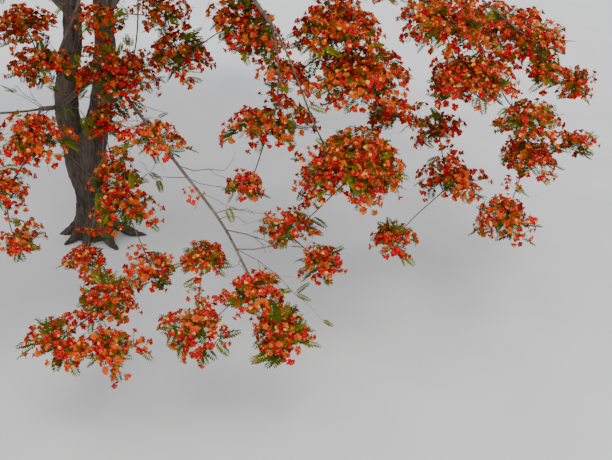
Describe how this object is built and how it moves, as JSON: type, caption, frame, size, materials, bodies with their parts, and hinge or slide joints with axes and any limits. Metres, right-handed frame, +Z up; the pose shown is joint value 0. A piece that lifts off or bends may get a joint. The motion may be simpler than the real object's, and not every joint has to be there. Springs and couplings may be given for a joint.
{
  "type": "flame tree",
  "caption": "Whole umbrella-shaped flame tree in full bloom, with a fluted forked trunk, arching boughs and hanging masses of red and orange blossom.",
  "frame": {"origin": "middle of the trunk's foot, on the flat cut at ground level", "axes": "+Z up, +X to the right and +Y away from the viewer in the picture"},
  "size_m": [13.9048, 13.5735, 7.3027],
  "materials": {
    "bark": "rough dark grey-brown bark",
    "limb_bark": "matt grey-brown bark",
    "blossom": "soft matt petals and feathery leaves"
  },
  "bodies": {
    "root": {"trunk": "bark", "stem_left": "bark", "stem_right": "bark", "bough_01": "limb_bark", "bough_02": "limb_bark", "bough_03": "limb_bark", "bough_04": "limb_bark", "bough_05": "limb_bark", "bough_06": "limb_bark", "bough_07": "limb_bark", "bough_08": "limb_bark", "bough_09": "limb_bark", "bough_10": "limb_bark", "bough_11": "limb_bark", "bough_12": "limb_bark", "bough_13": "limb_bark", "bough_14": "limb_bark", "bough_15": "limb_bark", "bough_16": "limb_bark", "bough_17": "limb_bark", "mass_01": "blossom", "mass_02": "blossom", "mass_03": "blossom", "mass_04": "blossom", "mass_05": "blossom", "mass_06": "blossom", "mass_07": "blossom", "mass_08": "blossom", "mass_09": "blossom", "mass_10": "blossom", "mass_11": "blossom", "mass_12": "blossom", "mass_13": "blossom", "mass_14": "blossom", "mass_15": "blossom", "mass_16": "blossom", "mass_17": "blossom", "mass_18": "blossom", "mass_19": "blossom", "mass_20": "blossom", "mass_21": "blossom", "mass_22": "blossom", "mass_23": "blossom", "mass_24": "blossom", "mass_25": "blossom", "mass_26": "blossom", "mass_27": "blossom", "mass_28": "blossom", "mass_29": "blossom", "mass_30": "blossom", "mass_31": "blossom", "mass_32": "blossom", "mass_33": "blossom", "mass_34": "blossom", "mass_35": "blossom", "mass_36": "blossom"}
  },
  "joints": []
}
